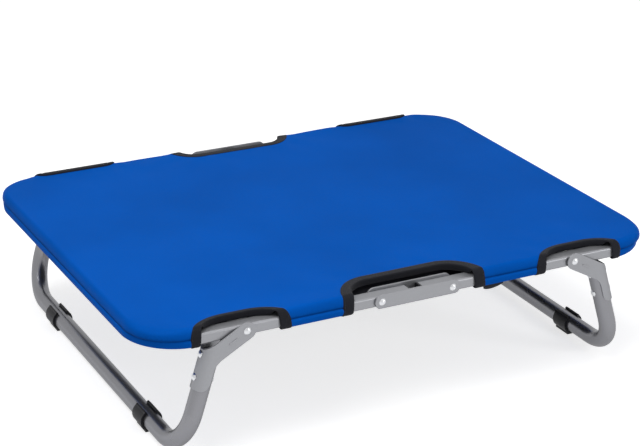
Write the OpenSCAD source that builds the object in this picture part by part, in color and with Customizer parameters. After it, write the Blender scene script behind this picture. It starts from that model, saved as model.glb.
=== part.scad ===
// Folding raised pet cot: two U-shaped half frames hinged at mid length, two U-shaped
// folding legs and a padded cover. Length runs along X, width along Y, the floor is z = 0.

/* [Frame] */
// Length over the end rails
frame_l = 607; // [590:1:630]
// Width over the side rails
frame_w = 469; // [455:1:490]
// Height of the side rails' axis, which is also the height of every pivot
rail_z = 139.3; // [136:0.1:144]
// Outer radius of the frame's corners, seen from above
corner_r = 58; // [52:1:64]
// Width of the rail tube
rail_w = 16; // [15:0.1:16.6]
// Height of the rail tube
rail_h = 12; // [11:0.1:12.6]
// Edge radius of the rail tube
rail_edge_r = 2.5; // [2:0.1:3.5]
// Wall of the rail tube
rail_wall = 1.2; // [1:0.1:1.5]

/* [Centre hinge] */
// Half the distance between a link's two rivets
hinge_x = 42; // [41:0.5:46]
// Gap between the two rail ends at mid length
stub_gap = 12; // [10:0.5:16]
// Sheet thickness of the hinge links
link_t = 2; // [1.6:0.1:2.2]
// Clearance between a link's plates and the rail's sides
link_side_gap = 0.35; // [0.3:0.05:0.5]
// Clearance between a link's floor and the rail's underside
link_stop_gap = 0.3; // [0.2:0.05:0.4]
// Outer bend radius of a link's lower edges
link_bend_r = 3; // [2.5:0.1:3.4]
// Thickness of an end plug's cap
plug_cap = 2; // [1.5:0.1:3]
// Length of an end plug's shank
plug_shank = 12; // [8:0.5:14]
// Clearance round an end plug's shank
plug_gap = 0.1; // [0.05:0.01:0.2]

/* [Legs] */
// Distance of a leg's pivot from mid length
pivot_x = 194.6; // [192:0.2:198]
// Outside diameter of the leg tube
leg_d = 19; // [18.6:0.1:19.6]
// Wall of the leg tube
leg_wall = 1.2; // [1:0.1:1.5]
// Lean of an open leg from upright, in degrees
leg_tilt = 17.2; // [16:0.1:18.4]
// Distance from a pivot to the centre line of the leg tube
leg_offset = 28; // [27.2:0.1:29]
// Bend radius of the leg tube's centre line
bend_r = 46; // [42:1:50]
// Distance down the leg from the pivot to the top of the leg tube
tube_top_s = 27.5; // [26.5:0.1:28.5]

/* [Leg brackets] */
// Sheet thickness of the leg brackets
sheet_t = 1.5; // [1.2:0.1:1.8]
// Radius of a bracket's pivot end, and half the width of its arm
pivot_end_r = 9.4; // [8.6:0.1:9.6]
// Slope of a bracket's arm below the square of the leg, in degrees
arm_slope = 46; // [44:0.5:48]
// Distance down the leg from the pivot to the bracket's lower end
bracket_end_s = 69; // [67:0.5:72]
// Width of the part of the cheek that runs down past the tube's centre line
tongue_in = 3.5; // [3:0.1:5]
// Corner radius at the lower end of a cheek
tongue_r = 10; // [8:0.5:12]
// Radius between the arm's lower edge and the tongue
throat_r = 20; // [16:0.5:22]
// Distance down the leg from the pivot to the upper tube rivet
upper_rivet_s = 32.4; // [32:0.1:33.5]
// Distance down the leg from the pivot to the lower tube rivet
lower_rivet_s = 57; // [55:0.1:60]
// Length of the stop tabs under the rail
tab_l = 8; // [6:0.5:8.5]
// Distance from the pivot to the start of the stop tabs
tab_x = 19; // [18:0.1:19.5]
// How far the stop tabs reach in from the cheeks
tab_in = 5; // [4:0.5:6]
// Clearance between the stop tabs and the rail's underside
tab_gap = 0.2; // [0.15:0.05:0.3]
// Length of the pressed bead on each outer cheek
bead_l = 11; // [9:0.5:12]
// Width of the pressed bead
bead_w = 2.2; // [1.8:0.1:2.6]
// Height of the pressed bead
bead_h = 0.5; // [0.3:0.1:0.7]
// Distance from the pivot to the middle of the bead
bead_x = 17; // [16:0.5:18]

/* [Rivets and washers] */
// Diameter of the pivot and hinge rivets
rivet_d = 5; // [4.4:0.1:5.4]
// Diameter of the rivets that hold a bracket to its leg tube
tube_rivet_d = 4.5; // [4:0.1:5]
// Diameter of every rivet head
head_d = 8; // [7.6:0.1:9]
// Height of every rivet head
head_h = 1.8; // [1.5:0.1:2]
// Radial clearance of a turning rivet
run_gap = 0.08; // [0.05:0.01:0.1]
// Clearance under a pivot rivet's heads and beside the washers
side_gap = 0.1; // [0.08:0.01:0.15]
// Outside diameter of the pivot washers
washer_d = 11; // [10.4:0.1:11.6]

/* [Feet] */
// Length of a foot along the bar
foot_l = 24; // [20:0.5:28]
// Wall of a foot round the bar
foot_wall = 2.6; // [2:0.1:2.8]
// Thickness of a foot's sole under the bar
sole_t = 2.9; // [2.9:0.1:4]
// Width of a foot's sole
sole_w = 14; // [11:0.5:18]
// Angle of the gap at the top of a foot, in degrees
foot_gap_deg = 68; // [60:1:80]
// How much thicker a foot's lips are than its wall
lip_swell = 0.5; // [0.3:0.1:0.8]
// Clearance between a foot's lips and the bar
lip_gap = 0.1; // [0.05:0.05:0.2]
// Distance of the feet from the middle of the bar
foot_y = 135; // [100:1:160]

/* [Cover] */
// Height of the padded panel above the rails
pad_t = 4.7; // [4.4:0.1:6]
// Radius of the padded panel's upper edge
edge_r = 4; // [3:0.1:4.4]
// Fabric thickness of the sleeves
cover_t = 1.2; // [1:0.1:1.5]
// Clearance between the sleeves and the rails
cover_gap = 0.3; // [0.3:0.05:0.5]
// Width of the hem under the rails, from the cover's outer face
hem_w = 24; // [22:0.5:30]
// Half the length of a leg opening, over its binding
leg_cut_half = 55; // [53:0.5:56]
// Depth of a leg opening into the panel, over its binding
leg_cut_depth = 25; // [24.5:0.5:30]
// Distance of the leg openings' middle from mid length
leg_cut_x = 201; // [199:0.5:203]
// Corner radius of a leg opening, over its binding
leg_cut_r = 22; // [18:0.5:24]
// Half the length of the centre opening, over its binding
mid_cut_half = 85; // [80:0.5:90]
// Depth of the centre opening into the panel, over its binding
mid_cut_depth = 43; // [40:0.5:48]
// Corner radius of the centre opening, over its binding
mid_cut_r = 38; // [30:0.5:39]
// Width of the binding tape
bind_w = 11; // [9:0.5:12]
// Thickness of the binding tape over the top of the opening
bind_t = 1; // [0.8:0.1:1]
// Half the gap between the cover's three panels at the fold lines
fold_gap = 0.2; // [0.15:0.05:0.4]

/* [Hidden] */
$fn = 64;

steel_colour = [0.62, 0.63, 0.65];
zinc_colour = [0.85, 0.86, 0.88];
black_colour = [0.07, 0.07, 0.08];
nylon_colour = [0.9, 0.9, 0.88];
blue_colour = [0.0, 0.27, 0.72];
tape_colour = [0.05, 0.06, 0.09];

// Overrun that lets a cutting solid pass a face
over = 1;
// Long enough to pass the whole cot
far = 1000;
// Step between a tube rivet's head and the collar that seats it on the round tube
collar_step = 0.2;

rail_y = (frame_w - rail_w) / 2;
rail_top = rail_z + rail_h / 2;
rail_low = rail_z - rail_h / 2;
stub_x = stub_gap / 2 + plug_cap;

// A link's plate is as deep below the rivets as its floor needs, and as high above them
link_r = rail_h / 2 + link_stop_gap + link_t;
link_in = rail_w / 2 + link_side_gap;
link_out = link_in + link_t;
// The floor stops short of the rivets so that the rails can swing down past it
floor_half = hinge_x - link_r;

leg_r = leg_d / 2;
bar_z = leg_r + sole_t;
// Length of the leg, down its slope, from the pivot's level to the bar
leg_s = (rail_z - bar_z + leg_offset * sin(leg_tilt)) / cos(leg_tilt);
bar_x = pivot_x + leg_offset * cos(leg_tilt) + leg_s * sin(leg_tilt);
cheek_out = leg_r + sheet_t;
washer_t = leg_r - rail_w / 2 - side_gap;

cover_wrap = cover_gap + cover_t;
cover_l = frame_l + 2 * cover_wrap;
cover_w = frame_w + 2 * cover_wrap;
cover_r = corner_r + cover_wrap;
cover_top = rail_top + pad_t;
cover_low = rail_low - cover_wrap;

sides = [-1, 1];

// Rectangle with rounded corners, centred
module rounded_rect(w, h, r) {
    square([w - 2 * r, h], center = true);
    square([w, h - 2 * r], center = true);
    for (x = sides, y = sides)
        translate([x * (w / 2 - r), y * (h / 2 - r)])
            circle(r);
}

// Mirrors a right-hand piece to the left
module left() {
    mirror([1, 0, 0])
        children();
}

// Repeats a front piece at the back
module front_and_back() {
    children();
    mirror([0, 1, 0])
        children();
}

// Rail tube section, width along x and height along y
module rail_section() {
    difference() {
        rounded_rect(rail_w, rail_h, rail_edge_r);
        rounded_rect(rail_w - 2 * rail_wall, rail_h - 2 * rail_wall, rail_edge_r - rail_wall);
    }
}

// Half frame on the right: two side rails, two bent corners and the end rail
module half_frame() {
    side_l = frame_l / 2 - corner_r - stub_x;
    end_l = frame_w - 2 * corner_r;
    difference() {
        translate([0, 0, rail_z])
            union() {
                for (y = sides)
                    translate([stub_x, y * rail_y, 0])
                        rotate([90, 0, 90])
                            linear_extrude(side_l)
                                rail_section();
                for (y = sides)
                    translate([frame_l / 2 - corner_r, y * (frame_w / 2 - corner_r), 0])
                        rotate([0, 0, y > 0 ? 0 : -90])
                            rotate_extrude(angle = 90)
                                translate([corner_r - rail_w / 2, 0])
                                    rail_section();
                translate([(frame_l - rail_w) / 2, end_l / 2, 0])
                    rotate([90, 0, 0])
                        linear_extrude(end_l)
                            rail_section();
            }
        for (y = sides) {
            rail_hole(hinge_x, y, rivet_d / 2 + run_gap);
            rail_hole(pivot_x, y, rivet_d / 2);
        }
    }
}

// Cutter across one side rail
module rail_hole(x, y, r) {
    translate([x, y * rail_y, rail_z])
        rotate([90, 0, 0])
            cylinder(h = rail_w + 2 * over, r = r, center = true);
}

// Plastic plug in one rail end, at the front on the right
module rail_plug() {
    shank_inset = rail_wall + plug_gap;
    translate([0, -rail_y, rail_z])
        rotate([90, 0, 90]) {
            translate([0, 0, stub_gap / 2])
                linear_extrude(plug_cap)
                    rounded_rect(rail_w, rail_h, rail_edge_r);
            translate([0, 0, stub_x])
                linear_extrude(plug_shank)
                    rounded_rect(
                        rail_w - 2 * shank_inset,
                        rail_h - 2 * shank_inset,
                        rail_edge_r - rail_wall
                    );
        }
}

// Side outline of a hinge link, with round ends at the rivets
module link_outline() {
    square([2 * hinge_x, 2 * link_r], center = true);
    for (x = sides)
        translate([x * hinge_x, 0])
            circle(link_r);
}

// End section of a hinge link: a channel that is open at the top
module link_section() {
    channel_h = 2 * link_r + over;
    difference() {
        translate([0, -link_r + channel_h / 2])
            union() {
                translate([0, link_bend_r / 2])
                    square([2 * link_out, channel_h - link_bend_r], center = true);
                rounded_rect(2 * link_out, channel_h, link_bend_r);
            }
        translate([-link_in, -link_r + link_t])
            square([2 * link_in, channel_h]);
    }
}

// Hinge link at the front
module hinge_link() {
    translate([0, -rail_y, rail_z])
        difference() {
            intersection() {
                rotate([90, 0, 90])
                    linear_extrude(far, center = true)
                        link_section();
                rotate([90, 0, 0])
                    linear_extrude(3 * link_out, center = true)
                        link_outline();
            }
            for (x = sides) {
                translate([x * (floor_half + far / 2), 0, -link_r])
                    cube([far, 2 * link_in, 2 * link_t], center = true);
                translate([x * hinge_x, 0, 0])
                    rotate([90, 0, 0])
                        cylinder(h = 3 * link_out, d = rivet_d, center = true);
            }
        }
}

// Domed rivet head with its flat side on z = 0
module rivet_head() {
    dome_r = (pow(head_d / 2, 2) + pow(head_h, 2)) / (2 * head_h);
    intersection() {
        translate([0, 0, head_h - dome_r])
            sphere(dome_r);
        translate([0, 0, head_d])
            cube(2 * head_d, center = true);
    }
}

// Rivet along z with a head at each end, grip long between its heads
module rivet(d, grip) {
    cylinder(h = grip, d = d, center = true);
    for (z = [0, 1])
        mirror([0, 0, z])
            translate([0, 0, grip / 2])
                rivet_head();
}

// Rivet across the front side rail
module rail_rivet(x, grip) {
    translate([x, -rail_y, rail_z])
        rotate([90, 0, 0])
            rivet(rivet_d, grip);
}

// Places a leg piece: x points out square to the leg, z points up along it, the pivot is at 0
module on_leg() {
    translate([pivot_x, 0, rail_z])
        rotate([0, -leg_tilt, 0])
            children();
}

// Leg tube section
module leg_section() {
    difference() {
        circle(leg_r);
        circle(leg_r - leg_wall);
    }
}

// U-shaped leg on the right: two posts, two bends and the bar on the floor
module leg_tube() {
    bend_y = rail_y - bend_r;
    on_leg()
        difference() {
            translate([leg_offset, 0, -leg_s]) {
                for (y = sides) {
                    translate([0, y * rail_y, bend_r])
                        linear_extrude(leg_s - bend_r - tube_top_s)
                            leg_section();
                    translate([0, y * bend_y, bend_r])
                        rotate([90, 0, 90])
                            rotate([0, 0, y > 0 ? -90 : 180])
                                rotate_extrude(angle = 90)
                                    translate([bend_r, 0])
                                        leg_section();
                }
                rotate([90, 0, 0])
                    linear_extrude(2 * bend_y, center = true)
                        leg_section();
            }
            for (y = sides, s = [upper_rivet_s, lower_rivet_s])
                tube_rivet_hole(y, s);
        }
}

// Cutter along a tube rivet's axis
module tube_rivet_hole(y, s) {
    translate([leg_offset, y * rail_y, -s])
        rotate([0, 90, 0])
            cylinder(h = 4 * leg_r, d = tube_rivet_d, center = true);
}

// Side outline of a leg bracket: pivot end, arm and the tongue down the tube
module bracket_outline() {
    out_x = leg_offset + cheek_out;
    arm_l = (out_x + over) / cos(arm_slope);
    tongue_x = leg_offset - tongue_in;
    // The tongue starts just under the arm's upper edge, at the outer side of the tube
    tongue_top = out_x * tan(arm_slope) - pivot_end_r / cos(arm_slope) + over;
    throat_x = tongue_x - throat_r;
    // The throat's centre is throat_r off the arm's lower edge
    throat_z = -(pivot_end_r + throat_r + throat_x * sin(arm_slope)) / cos(arm_slope);
    rotate(-arm_slope) {
        circle(pivot_end_r);
        translate([0, -pivot_end_r])
            square([arm_l, 2 * pivot_end_r]);
    }
    translate([tongue_x + arm_l / 2, -(bracket_end_s + tongue_top) / 2])
        rounded_rect(arm_l, bracket_end_s - tongue_top, tongue_r);
    difference() {
        translate([throat_x, throat_z])
            polygon([
                [throat_r * sin(arm_slope), throat_r * cos(arm_slope)],
                [throat_r, 0],
                [throat_r + over, 0],
                [throat_r + over, throat_r * cos(arm_slope)]
            ]);
        translate([throat_x, throat_z])
            circle(throat_r);
    }
}

// Area round the leg tube and in towards the pivot, w from the middle plane
module channel_area(w) {
    translate([leg_offset, 0])
        circle(w);
    translate([leg_offset - far / 2, 0])
        square([far, 2 * w], center = true);
}

// Sheet that wraps the outer half of the tube and runs in as two cheeks
module bracket_sheet() {
    difference() {
        linear_extrude(far, center = true)
            channel_area(cheek_out);
        linear_extrude(2 * far, center = true)
            channel_area(leg_r);
    }
}

// Inward tabs of the cheeks that come to rest under the rail
module stop_tabs() {
    tab_root = leg_r + sheet_t / 2;
    for (y = sides)
        translate([tab_x, y > 0 ? leg_r - tab_in : -tab_root, -rail_h / 2 - tab_gap - sheet_t])
            cube([tab_l, tab_root - leg_r + tab_in, sheet_t]);
}

// Pressed bead on the outer cheek, along the arm
module bead() {
    half_l = (bead_l - bead_w) / 2;
    bead_root = sheet_t / 2;
    rotate([0, arm_slope, 0])
        translate([bead_x, bead_root - cheek_out, 0])
            rotate([90, 0, 0])
                linear_extrude(bead_h + bead_root)
                    union() {
                        square([2 * half_l, bead_w], center = true);
                        for (x = sides)
                            translate([x * half_l, 0])
                                circle(bead_w / 2);
                    }
}

// Leg bracket at the front on the right
module leg_bracket() {
    translate([0, -rail_y, 0]) {
        on_leg()
            difference() {
                union() {
                    intersection() {
                        bracket_sheet();
                        rotate([90, 0, 0])
                            linear_extrude(far, center = true)
                                bracket_outline();
                    }
                    bead();
                }
                rotate([90, 0, 0])
                    cylinder(h = 4 * cheek_out, r = rivet_d / 2 + run_gap, center = true);
                for (s = [upper_rivet_s, lower_rivet_s])
                    tube_rivet_hole(0, s);
            }
        translate([pivot_x, 0, rail_z])
            stop_tabs();
    }
}

// One rivet through a bracket and its leg tube, at the front on the right
module tube_rivet(s) {
    head_seat = head_d / 2;
    seat_d = head_d - 2 * collar_step;
    on_leg()
        translate([leg_offset, -rail_y, -s])
            difference() {
                rotate([0, 90, 0])
                    union() {
                        translate([0, 0, -leg_r])
                            cylinder(h = leg_r + cheek_out, d = tube_rivet_d);
                        translate([0, 0, cheek_out])
                            rivet_head();
                        translate([0, 0, cheek_out - head_seat])
                            cylinder(h = head_seat, d = seat_d);
                        mirror([0, 0, 1]) {
                            translate([0, 0, leg_r])
                                rivet_head();
                            translate([0, 0, leg_r - head_seat])
                                cylinder(h = head_seat, d = seat_d);
                        }
                    }
                difference() {
                    union() {
                        cylinder(h = far, r = leg_r, center = true);
                        intersection() {
                            cylinder(h = far, r = cheek_out, center = true);
                            translate([0, -far / 2, -far / 2])
                                cube(far);
                        }
                    }
                    rotate([0, 90, 0])
                        cylinder(h = far, d = tube_rivet_d, center = true);
                }
            }
}

// Washers on both sides of the front rail at the right pivot
module washer_pair() {
    translate([pivot_x, -rail_y, rail_z])
        rotate([90, 0, 0])
            for (z = [0, 1])
                mirror([0, 0, z])
                    translate([0, 0, rail_w / 2])
                        difference() {
                            cylinder(h = washer_t, d = washer_d);
                            translate([0, 0, -over])
                                cylinder(h = washer_t + 2 * over, d = rivet_d);
                        }
}

// Clip-on foot round the right bar, with a flat sole
module foot(y) {
    lip_r = (foot_wall + lip_swell) / 2;
    lip_mid = leg_r + lip_gap + lip_r;
    half_gap = foot_gap_deg / 2;
    translate([bar_x, y + foot_l / 2, bar_z])
        rotate([90, 0, 0])
            linear_extrude(foot_l)
                union() {
                    difference() {
                        union() {
                            circle(leg_r + foot_wall);
                            translate([-sole_w / 2, -bar_z])
                                square([sole_w, bar_z]);
                        }
                        circle(leg_r);
                        polygon([
                            [0, 0],
                            [-far * sin(half_gap), far * cos(half_gap)],
                            [far * sin(half_gap), far * cos(half_gap)]
                        ]);
                    }
                    for (x = sides)
                        translate([x * lip_mid * sin(half_gap), lip_mid * cos(half_gap)])
                            circle(lip_r);
                }
}

// Cover outline from above, set in from its outer face
module cover_outline(inset) {
    rounded_rect(cover_l - 2 * inset, cover_w - 2 * inset, cover_r - inset);
}

// Section of a slab's rim, r wide, with its upper edge rounded
module rim_section(r, low, top, edge) {
    translate([0, low])
        square([r - edge, top - low]);
    translate([0, low])
        square([r, top - edge - low]);
    translate([r - edge, top - edge])
        circle(edge);
}

// Slab of the cover's outline, set in from its outer face, with its upper edge rounded
module cover_slab(inset, low, top, edge) {
    mid_l = cover_l - 2 * cover_r;
    mid_w = cover_w - 2 * cover_r;
    rim_r = cover_r - inset;
    translate([-mid_l / 2, -mid_w / 2, low])
        cube([mid_l, mid_w, top - low]);
    for (turn = [0, 180])
        rotate([0, 0, turn]) {
            translate([mid_l / 2, 0, 0])
                rotate([90, 0, 0])
                    linear_extrude(mid_w, center = true)
                        rim_section(rim_r, low, top, edge);
            translate([0, mid_w / 2, 0])
                rotate([90, 0, 90])
                    linear_extrude(mid_l, center = true)
                        rim_section(rim_r, low, top, edge);
            translate([mid_l / 2, mid_w / 2, 0])
                rotate_extrude(angle = 90)
                    rim_section(rim_r, low, top, edge);
            translate([mid_l / 2, -mid_w / 2, 0])
                rotate([0, 0, -90])
                    rotate_extrude(angle = 90)
                        rim_section(rim_r, low, top, edge);
        }
}

// Whole cover without its openings; panel_t is the thickness of its top, inner_edge its inner radius
module cover_shell(panel_t, inner_edge) {
    difference() {
        cover_slab(0, cover_low, cover_top, edge_r);
        cover_slab(cover_t, cover_low + cover_t, cover_top - panel_t, inner_edge);
        translate([0, 0, cover_low - over])
            linear_extrude(cover_t + 2 * over)
                cover_outline(hem_w);
    }
}

// Cutter for an opening at both long sides, set in from its outer edge
module opening(x, half, depth, r, inset) {
    for (y = sides)
        translate([x, y * cover_w / 2, 0])
            linear_extrude(far, center = true)
                rounded_rect(2 * (half - inset), 2 * (depth - inset), r - inset);
}

// Leg openings on the right
module leg_opening(inset) {
    opening(leg_cut_x, leg_cut_half, leg_cut_depth, leg_cut_r, inset);
}

// Openings at mid length
module mid_opening(inset) {
    opening(0, mid_cut_half, mid_cut_depth, mid_cut_r, inset);
}

// Everything to the right of the right fold line
module right_of_fold() {
    translate([hinge_x + fold_gap, -far / 2, -far / 2])
        cube(far);
}

// Everything between the two fold lines
module between_folds() {
    cube([2 * (hinge_x - fold_gap), far, far], center = true);
}

// Padded panel with its end pocket and side sleeves, on the right
module cover_half() {
    difference() {
        intersection() {
            cover_shell(pad_t, rail_edge_r + cover_gap);
            right_of_fold();
        }
        leg_opening(0);
        mid_opening(0);
    }
}

// Cutter that clears the hem under the leg openings, where the brackets hang
module hem_clearance() {
    for (y = sides)
        translate([leg_cut_x, y * cover_w / 2, cover_low])
            cube([2 * (leg_cut_half - bind_w), 2 * (hem_w + over), rail_h], center = true);
}

// Binding tape round the two leg openings on the right
module leg_binding() {
    difference() {
        intersection() {
            cover_shell(bind_t, edge_r - cover_t);
            leg_opening(0);
        }
        leg_opening(bind_w);
        hem_clearance();
    }
}

// Binding tape round both centre openings
module mid_binding() {
    difference() {
        intersection() {
            cover_shell(bind_t, edge_r - cover_t);
            mid_opening(0);
        }
        mid_opening(bind_w);
    }
}

// Binding tape of the centre openings on the right
module mid_binding_half() {
    intersection() {
        mid_binding();
        right_of_fold();
    }
}

module frame_right() { color(steel_colour) half_frame(); }
module frame_left() { color(steel_colour) left() half_frame(); }
module rail_plugs_right() { color(black_colour) front_and_back() rail_plug(); }
module rail_plugs_left() { color(black_colour) left() front_and_back() rail_plug(); }
module hinge_link_front() { color(steel_colour) hinge_link(); }
module hinge_link_back() { color(steel_colour) mirror([0, 1, 0]) hinge_link(); }
module hinge_rivets() {
    color(zinc_colour)
        front_and_back()
            for (x = sides)
                rail_rivet(x * hinge_x, 2 * link_out);
}
module leg_tube_right() { color(steel_colour) leg_tube(); }
module leg_tube_left() { color(steel_colour) left() leg_tube(); }
module leg_bracket_right_front() { color(steel_colour) leg_bracket(); }
module leg_bracket_right_back() { color(steel_colour) mirror([0, 1, 0]) leg_bracket(); }
module leg_bracket_left_front() { color(steel_colour) left() leg_bracket(); }
module leg_bracket_left_back() { color(steel_colour) left() mirror([0, 1, 0]) leg_bracket(); }
module bracket_rivets_right() {
    color(zinc_colour)
        front_and_back()
            for (s = [upper_rivet_s, lower_rivet_s])
                tube_rivet(s);
}
module bracket_rivets_left() { left() bracket_rivets_right(); }
module pivot_rivets_right() {
    color(zinc_colour)
        front_and_back()
            rail_rivet(pivot_x, 2 * (cheek_out + side_gap));
}
module pivot_rivets_left() { left() pivot_rivets_right(); }
module pivot_washers_right() { color(nylon_colour) front_and_back() washer_pair(); }
module pivot_washers_left() { left() pivot_washers_right(); }
module foot_right_front() { color(black_colour) foot(-foot_y); }
module foot_right_back() { color(black_colour) foot(foot_y); }
module foot_left_front() { color(black_colour) left() foot(-foot_y); }
module foot_left_back() { color(black_colour) left() foot(foot_y); }
module cover_right() { color(blue_colour) cover_half(); }
module cover_left() { color(blue_colour) left() cover_half(); }
module cover_middle() {
    color(blue_colour)
        difference() {
            intersection() {
                cover_shell(pad_t, rail_edge_r + cover_gap);
                between_folds();
            }
            mid_opening(0);
        }
}
module leg_binding_right() { color(tape_colour) leg_binding(); }
module leg_binding_left() { color(tape_colour) left() leg_binding(); }
module centre_binding_right() { color(tape_colour) mid_binding_half(); }
module centre_binding_left() { color(tape_colour) left() mid_binding_half(); }
module centre_binding_middle() {
    color(tape_colour)
        intersection() {
            mid_binding();
            between_folds();
        }
}

frame_left();
frame_right();
rail_plugs_left();
rail_plugs_right();
hinge_link_front();
hinge_link_back();
hinge_rivets();
leg_tube_left();
leg_tube_right();
leg_bracket_left_front();
leg_bracket_left_back();
leg_bracket_right_front();
leg_bracket_right_back();
bracket_rivets_left();
bracket_rivets_right();
pivot_rivets_left();
pivot_rivets_right();
pivot_washers_left();
pivot_washers_right();
foot_left_front();
foot_left_back();
foot_right_front();
foot_right_back();
cover_left();
cover_middle();
cover_right();
leg_binding_left();
leg_binding_right();
centre_binding_left();
centre_binding_middle();
centre_binding_right();
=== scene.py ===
import math
from dataclasses import dataclass, replace
from functools import partial

import bpy
import numpy as np
from mathutils import Matrix, Vector
from mathutils.geometry import delaunay_2d_cdt
from mathutils.kdtree import KDTree


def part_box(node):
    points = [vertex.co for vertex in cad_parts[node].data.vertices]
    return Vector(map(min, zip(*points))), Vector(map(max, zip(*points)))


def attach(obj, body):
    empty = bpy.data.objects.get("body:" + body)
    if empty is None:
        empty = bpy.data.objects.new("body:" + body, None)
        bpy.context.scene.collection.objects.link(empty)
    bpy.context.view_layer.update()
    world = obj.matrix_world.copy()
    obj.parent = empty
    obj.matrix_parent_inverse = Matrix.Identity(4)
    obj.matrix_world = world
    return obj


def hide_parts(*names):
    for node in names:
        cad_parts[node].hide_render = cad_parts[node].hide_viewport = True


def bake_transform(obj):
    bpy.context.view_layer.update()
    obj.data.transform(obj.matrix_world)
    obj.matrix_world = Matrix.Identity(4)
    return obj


bl_info = {
    "name": "Folding Pet Cot",
    "version": (1, 0, 0),
    "blender": (4, 5, 0),
    "location": "View3D > Sidebar > Pet Cot",
    "description": "Dresses a folding raised pet cot: cover, tape, stitches, paint and stage",
    "category": "Object",
}

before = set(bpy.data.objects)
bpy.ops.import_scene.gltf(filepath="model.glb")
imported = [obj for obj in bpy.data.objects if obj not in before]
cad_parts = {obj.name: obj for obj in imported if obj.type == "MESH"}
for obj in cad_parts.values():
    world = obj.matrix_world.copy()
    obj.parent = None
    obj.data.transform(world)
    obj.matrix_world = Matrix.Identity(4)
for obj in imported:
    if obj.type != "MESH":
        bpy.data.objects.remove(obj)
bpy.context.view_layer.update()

COVER_LOW, COVER_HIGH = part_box("cover_right")
COVER_HALF = np.array([COVER_HIGH.x, COVER_HIGH.y])
MM = 0.001
# Left and right half of the bed, and also its front and back edge
SIDES = (-1, 1)
# What settings of one kind have in common
LENGTH = {"unit": "LENGTH", "subtype": "DISTANCE"}
COLOUR = {"min": 0.0, "max": 1.0, "subtype": "COLOR"}


class CotCoverSettings(bpy.types.PropertyGroup):
    """Sizes of the padded cover"""

    corner_radius: bpy.props.FloatProperty(
        name="Corner radius", description="Radius of the bed's corners seen from above",
        default=0.0595, min=0.03, **LENGTH)
    shoulder: bpy.props.FloatProperty(
        name="Shoulder", description="Width over which the padded top rolls down to its seam",
        default=0.005, min=0.004, max=0.009, **LENGTH)
    overhang: bpy.props.FloatProperty(
        name="Overhang", description="How far the padding stands out past the sleeve",
        default=-0.0005, min=-0.002, max=0.002, **LENGTH)
    corner_push: bpy.props.FloatProperty(
        name="Corner push", description="How far the padding stands out at the bed's corners",
        default=0.0046, min=0.0, max=0.006, **LENGTH)
    crown: bpy.props.FloatProperty(
        name="Crown", description="How far the padding stands up over the plain panel",
        default=0.0023, min=0.0, max=0.003, **LENGTH)
    seam_height: bpy.props.FloatProperty(
        name="Seam height", description="Height of the edge's seam over the cover's underside",
        default=0.0094, min=0.008, max=0.011, **LENGTH)
    seam_depth: bpy.props.FloatProperty(
        name="Seam depth", description="How far the seam round the edge is drawn in",
        default=0.0010, min=0.0, max=0.0012, **LENGTH)
    roll: bpy.props.FloatProperty(
        name="Edge roll", description="How far the rolled edge under the seam swells out",
        default=0.0010, min=0.0, max=0.002, **LENGTH)
    padding: bpy.props.FloatProperty(
        name="Padding", description="Thickness of the padded panel",
        default=0.0045, min=0.002, max=0.0046, **LENGTH)
    cloth: bpy.props.FloatProperty(
        name="Cloth", description="Thickness of the sleeves and hems",
        default=0.0008, min=0.0004, max=0.0011, **LENGTH)
    sag: bpy.props.FloatProperty(
        name="Sag", description="How far the stretched panel dips in the middle",
        default=0.0012, min=0.0, max=0.004, **LENGTH)
    wrinkle: bpy.props.FloatProperty(
        name="Wrinkle", description="Height of the drawn wrinkles beside the openings",
        default=0.0005, min=0.0, max=0.001, **LENGTH)
    pucker: bpy.props.FloatProperty(
        name="Pucker", description="Height of the small gathers along the seam",
        default=0.00022, min=0.0, max=0.0005, **LENGTH)


class CotTapeSettings(bpy.types.PropertyGroup):
    """Sizes of the binding tape and its stitching"""

    side_width: bpy.props.FloatProperty(
        name="Side width", description="Width of the tape down the sides of an opening",
        default=0.0132, min=0.006, **LENGTH)
    top_width: bpy.props.FloatProperty(
        name="Top width", description="Width of the tape along the inner edge of an opening",
        default=0.0098, min=0.006, **LENGTH)
    leg_width: bpy.props.FloatProperty(
        name="Leg width", description="Width of the tape inside a front leg opening",
        default=0.0053, min=0.005, **LENGTH)
    under_width: bpy.props.FloatProperty(
        name="Under width", description="Width of the tape along the underside of an opening",
        default=0.013, min=0.006, **LENGTH)
    lift: bpy.props.FloatProperty(
        name="Lift", description="Height of the tape over the cover",
        default=0.0007, min=0.0003, max=0.0012, **LENGTH)
    fold: bpy.props.FloatProperty(
        name="Fold depth", description="How far the folded tape reaches under the cover's face",
        default=0.00105, min=0.0004, max=0.0011, **LENGTH)
    back_rise: bpy.props.FloatProperty(
        name="Back rise", description="How far the tape stands up at the back leg openings",
        default=0.0016, min=0.0, max=0.003, **LENGTH)
    under: bpy.props.FloatProperty(
        name="Depth under the top", description="How far the tape reaches under the flat top",
        default=0.0015, min=0.001, max=0.0018, **LENGTH)
    leg_edge: bpy.props.FloatProperty(
        name="Leg edge", description="Height of the folded edge at a leg opening",
        default=0.0065, min=0.001, max=0.0068, **LENGTH)
    centre_edge: bpy.props.FloatProperty(
        name="Centre edge", description="Height of the folded edge at a centre opening",
        default=0.0068, min=0.001, max=0.0072, **LENGTH)
    tail: bpy.props.FloatProperty(
        name="Tail", description="How far the tape's loose end hangs down",
        default=0.0068, min=0.002, max=0.008, **LENGTH)
    stitch_pitch: bpy.props.FloatProperty(
        name="Stitch pitch", description="Distance from one stitch to the next",
        default=0.0034, min=0.002, **LENGTH)
    stitch_inset: bpy.props.FloatProperty(
        name="Stitch inset", description="Distance of the stitch line from the tape's outer edge",
        default=0.0019, min=0.001, **LENGTH)
    thread: bpy.props.FloatProperty(
        name="Thread", description="Thickness of the sewing thread",
        default=0.0005, min=0.0002, **LENGTH)


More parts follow.
